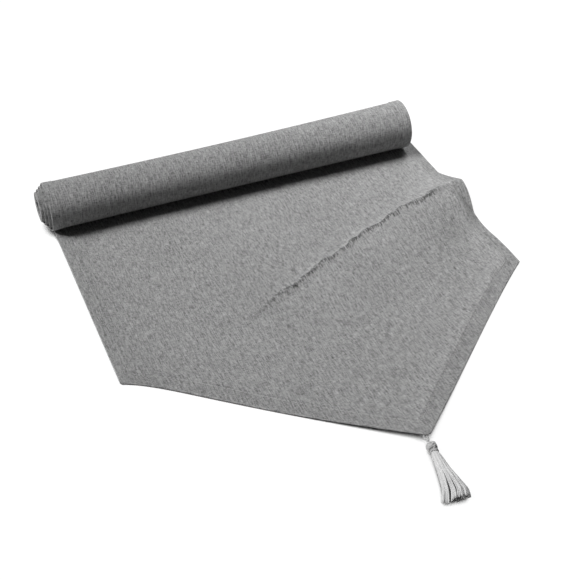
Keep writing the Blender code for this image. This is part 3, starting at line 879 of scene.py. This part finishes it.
def twisted(path, radius, plies, pitch):
    """Paths of the plies of a cord that follows a path."""
    path = np.asarray(path, float)
    tangent = np.gradient(path, axis=0)
    tangent /= np.linalg.norm(tangent, axis=-1, keepdims=True)
    side = np.empty_like(path)
    side[0] = (0, 0, 1) if abs(tangent[0, 2]) < 0.9 else (1, 0, 0)
    for i in range(len(path)):
        before = side[max(i - 1, 0)]
        new = before - before.dot(tangent[i]) * tangent[i]
        side[i] = new / np.linalg.norm(new)
    other = np.cross(tangent, side)
    step = np.linalg.norm(np.diff(path, axis=0), axis=-1)
    along = np.concatenate([[0], np.cumsum(step)])
    result = []
    for ply in range(plies):
        turn = TAU * (along / pitch + ply / plies)
        result.append(path + radius * (np.cos(turn)[:, None] * side
                                       + np.sin(turn)[:, None] * other))
    return np.array(result)


def cord_object(name, path, matrix, material):
    """A two-ply twisted cord along a path in the tassel's frame."""
    plies = twisted(path, CORD_RADIUS * 0.52, 2, 0.0024)
    rings = tube_rings(plies, CORD_RADIUS * 0.56, 10)
    return loft_object(name, placed(rings, matrix), tube_flat(plies, 10), material)


def knot_object(name, matrix, material, radius=HEAD_RADIUS):
    """The knot: a small core under crossing wraps of cord."""
    centre = np.array((KNOT_START + radius, 0.0005, 0.0))
    cord = 0.00078
    core_radius = radius - cord
    turn = TAU * np.linspace(0, 1, 90)
    rings, flats = [], []
    wraps = ((0.0, 0.95), (0.55, -0.6), (-0.55, 0.35), (1.15, 0.1), (-1.1, -0.25))
    for tilt, offset in wraps:
        around = core_radius * math.sqrt(max(0.15, 1 - (offset * 0.55) ** 2))
        ring = np.stack([offset * 0.55 * core_radius + 0 * turn,
                         around * np.cos(turn), around * np.sin(turn)], -1)
        turned = Matrix.Rotation(tilt, 3, "Y") @ Matrix.Rotation(tilt * 0.8, 3, "Z")
        plies = twisted(centre + ring @ np.array(turned).T, cord * 0.45, 2, 0.0026)
        rings.append(tube_rings(plies, cord * 0.62, 10))
        flats.append(tube_flat(plies, 10))
    wraps_object = loft_object(name, placed(np.concatenate(rings), matrix),
                               np.concatenate(flats), material)

    turn = TAU * np.arange(20) / 20
    angle = np.linspace(0.05, math.pi - 0.05, 14)[:, None]
    r = core_radius * np.sin(angle) * 0.98
    x = centre[0] - core_radius * np.cos(angle) * 0.98
    core = np.stack([x + 0 * turn, r * np.cos(turn), r * np.sin(turn)], -1)[None]
    flat = np.zeros(core.shape)
    flat[..., 0] = np.cos(turn)
    flat[..., 1] = core[..., 0]
    core_object = loft_object(name + "_core", placed(core, matrix), flat, material)
    return wraps_object, core_object


def binding_object(name, matrix, material):
    """Thread wound round the neck below the knot."""
    t = np.linspace(0, 1, 110)
    turn = TAU * 2.3 * t
    r = NECK_RADIUS + 0.00025
    path = np.stack([0.0098 + 0.0014 * t, 0.0007 + r * np.cos(turn), r * np.sin(turn)], -1)
    plies = twisted(path, 0.00017, 2, 0.0015)
    rings = tube_rings(plies, 0.00026, 8)
    return loft_object(name, placed(rings, matrix), tube_flat(plies, 8), material)


def strands_object(name, matrix, material, count, outline, seed):
    """The skirt: strands from the neck to the cut end, spread inside an outline.

    outline(share) gives left, right, top and bottom of the skirt at shares of its length.
    """
    rng = np.random.default_rng(seed)
    radius = STRAND_RADIUS
    share = np.linspace(0, 1, 22)
    shell = int(count * 0.68)
    turn = np.concatenate([np.arange(shell) / shell * TAU + rng.normal(0, 0.03, shell),
                           rng.uniform(0, TAU, count - shell)])
    depth = np.concatenate([rng.uniform(0.93, 1.0, shell),
                            rng.uniform(0.45, 0.85, count - shell)])
    # The outer strands part on the upper left and gather in clumps.
    away = (turn - math.radians(118) + math.pi) % TAU - math.pi
    open_up = np.sign(away) * 0.11 * np.exp(-(away / 0.25) ** 2)
    clumps = 15
    phase = clumps * turn + 0.6 * np.sin(3 * turn)
    gather = np.cos(phase)
    bunched = -0.40 / clumps * np.sin(phase)
    turn = turn + np.where(depth > 0.9, open_up + bunched, 0)
    depth = np.where(depth > 0.9, depth - 0.030 * (1 - gather), depth)
    left, right, top, bottom = outline(share)
    middle_y, half_y = (left + right) / 2, (right - left) / 2 - radius
    middle_z, half_z = (top + bottom) / 2, (top - bottom) / 2 - radius
    wave = rng.normal(0, 0.00022, (count, 4))
    grow = share ** 1.2
    y = middle_y + depth[:, None] * half_y * np.cos(turn)[:, None]
    z = middle_z + depth[:, None] * half_z * np.sin(turn)[:, None]
    # The ends of the strands on the upper left droop over the others.
    over = smoothstep((0.40 - np.cos(turn)) / 1.3) * np.maximum(np.sin(turn), 0)
    z = z - 0.0058 * over[:, None] * smoothstep((share - 0.55) / 0.45)
    for k in range(2):
        phase = rng.uniform(0, TAU, (count, 1))
        y = y + wave[:, k:k + 1] * np.sin((2.1 + k) * math.pi * share + phase) * grow
        z = z + wave[:, k + 2:k + 3] * np.sin((2.4 + k) * math.pi * share + phase) * grow
    inside = np.clip((0.93 - depth) / 0.3, 0, 1)
    reach = SKIRT_LENGTH + rng.normal(0, 0.00035, count) - 0.0006 - 0.009 * inside
    reach = reach - 0.0022 * np.clip(-np.sin(turn), 0, 1)
    x = SKIRT_START - 0.0020 + (reach[:, None] + 0.0020) * share
    z = np.maximum(z, TABLE_TOP + radius * 1.05)
    paths = np.stack([x, y, z], -1)
    thick = radius * (1 + 0.15 * rng.normal(size=(count, 1)).clip(-1.5, 1.5)) \
        * np.interp(share, [0, 0.08, 0.3, 0.97, 1], [0.62, 0.8, 1, 1.04, 0.7])
    rings = tube_rings(paths, thick, 8)
    return loft_object(name, placed(rings, matrix), tube_flat(paths, 8), material)


def front_outline(share):
    """Outline of the front skirt: slim at first, then flaring, more to its right."""
    left = -np.interp(share, [0, 0.12, 0.30, 0.58, 0.80, 1],
                      [1.9, 2.4, 2.9, 4.2, 6.0, 9.4]) / 1000
    right = np.interp(share, [0, 0.12, 0.30, 0.42, 0.62, 0.87, 1],
                      [3.0, 4.2, 5.2, 6.1, 8.6, 11.6, 10.4]) / 1000
    top = np.interp(share, [0, 0.2, 0.6, 1], [2.4, 3.3, 4.1, 4.4]) / 1000
    bottom = -np.interp(share, [0, 0.25, 0.6, 1], [2.4, 3.6, 4.4, 4.5]) / 1000
    return left, right, top, bottom


def far_outline(share):
    """The far skirt is held in by the roll around it."""
    half = np.interp(share, [0, 0.2, 1], [2.3, 3.4, 3.9]) / 1000
    return -half, half, half, -half


def loop_path(reach, spread, climb):
    """Hairpin: out along +X, round its bend and back."""
    t = np.linspace(0, 1, 60)
    x = reach * np.sin(math.pi * t) ** 0.75
    y = spread * np.cos(math.pi * t)
    return np.stack([x, y, climb(x / reach)], -1)


def make_tassels(cord, strand):
    """The front tassel on its joints, and the far one in the roll's core."""
    knot = tassel_frame("tassel_lift")
    eye = tassel_frame("loop_swing")
    climb = knot[2, 3] - eye[2, 3]
    reach = np.linalg.norm(knot[:2, 3] - eye[:2, 3]) + 0.0007
    loop = cord_object("hanging_loop", loop_path(reach, 0.0011, lambda s: climb * s),
                       eye, cord)
    wraps, core = knot_object("tassel_knot", knot, cord)
    winding = binding_object("tassel_winding", knot, cord)
    skirt = strands_object("tassel_strands", knot, strand, FRONT_STRANDS, front_outline, 11)
    pieces = [(loop, "loop", ("tassel_loop",)), (wraps, "tassel", ("tassel_head",)),
              (core, "tassel", ()), (winding, "tassel", ("tassel_binding",)),
              (skirt, "tassel", ("tassel_skirt",))]

    low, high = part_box("far_tassel_head")
    far = np.eye(4)
    far[:3, 3] = (low.x - 0.0009, (low.y + high.y) / 2, (low.z + high.z) / 2)
    tip = surface(WIDTH / 2, -WOUND_LENGTH + 0.001, 0.0)
    off = tip - far[:3, 3]
    loop_at = far.copy()
    loop_at[0, 3] = tip[0]
    span = 0.0007 - off[0]
    path = loop_path(span, 0.0009, lambda s: off[2] * (1 - smoothstep(s * 1.2)))
    path[:, 1] += off[1] * (1 - smoothstep(path[:, 0] / span * 1.2))
    far_loop = cord_object("far_hanging_loop", path, loop_at, cord)
    far_wraps, far_core = knot_object("far_tassel_knot", far, cord, 0.0039)
    far_winding = binding_object("far_tassel_winding", far, cord)
    far_skirt = strands_object("far_tassel_strands", far, strand, FAR_STRANDS, far_outline,
                               23)
    pieces += [(far_loop, "cloth", ("far_tassel_loop",)),
               (far_wraps, "cloth", ("far_tassel_head",)), (far_core, "cloth", ()),
               (far_winding, "cloth", ("far_tassel_binding",)),
               (far_skirt, "cloth", ("far_tassel_skirt",))]
    for piece, body, nodes in pieces:
        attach(piece, body)
        if nodes:
            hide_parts(*nodes)


# ---------------------------------------------------------------- assembly
def main():
    """Builds every piece, hides the CAD nodes shown in their place, and hangs the tassels'
    pieces on the bodies that carry them.
    """
    set_camera()
    set_studio()
    cloth_look = cloth_material("slub_weave", CLOTH_TONE, 0.93)
    hem_look = cloth_material("slub_weave_hem", CLOTH_TONE, 1.0)
    thread_look = yarn_material("sewing_thread", 0.48, 0.7, 0.0009, 0.1)
    cord_look = yarn_material("twisted_cord", 0.47, 0.55, 0.0011, 0.3)
    strand_look = yarn_material("silky_strand", 0.60, 0.45, 0.0013, 0.4)

    cloth = make_cloth(cloth_look)
    hems = [side_hem("left", hem_look), side_hem("right", hem_look),
            point_hem("left", hem_look), point_hem("right", hem_look)]
    seams = make_stitches(thread_look)

    for piece in [cloth] + hems + seams:
        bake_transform(piece)
    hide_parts("rolled_panel", "laid_panel", "point_panel")
    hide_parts("side_hem_left", "roll_hem_left")
    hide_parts("side_hem_right", "roll_hem_right")
    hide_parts("point_hem_left")
    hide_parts("point_hem_right")
    for piece in seams:
        kind, _, side = piece.name.removeprefix("stitches_").partition("_")
        if kind in ("side", "roll", "point") and side in ("left", "right"):
            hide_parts(kind + "_seam_" + side)
    make_tassels(cord_look, strand_look)


main()
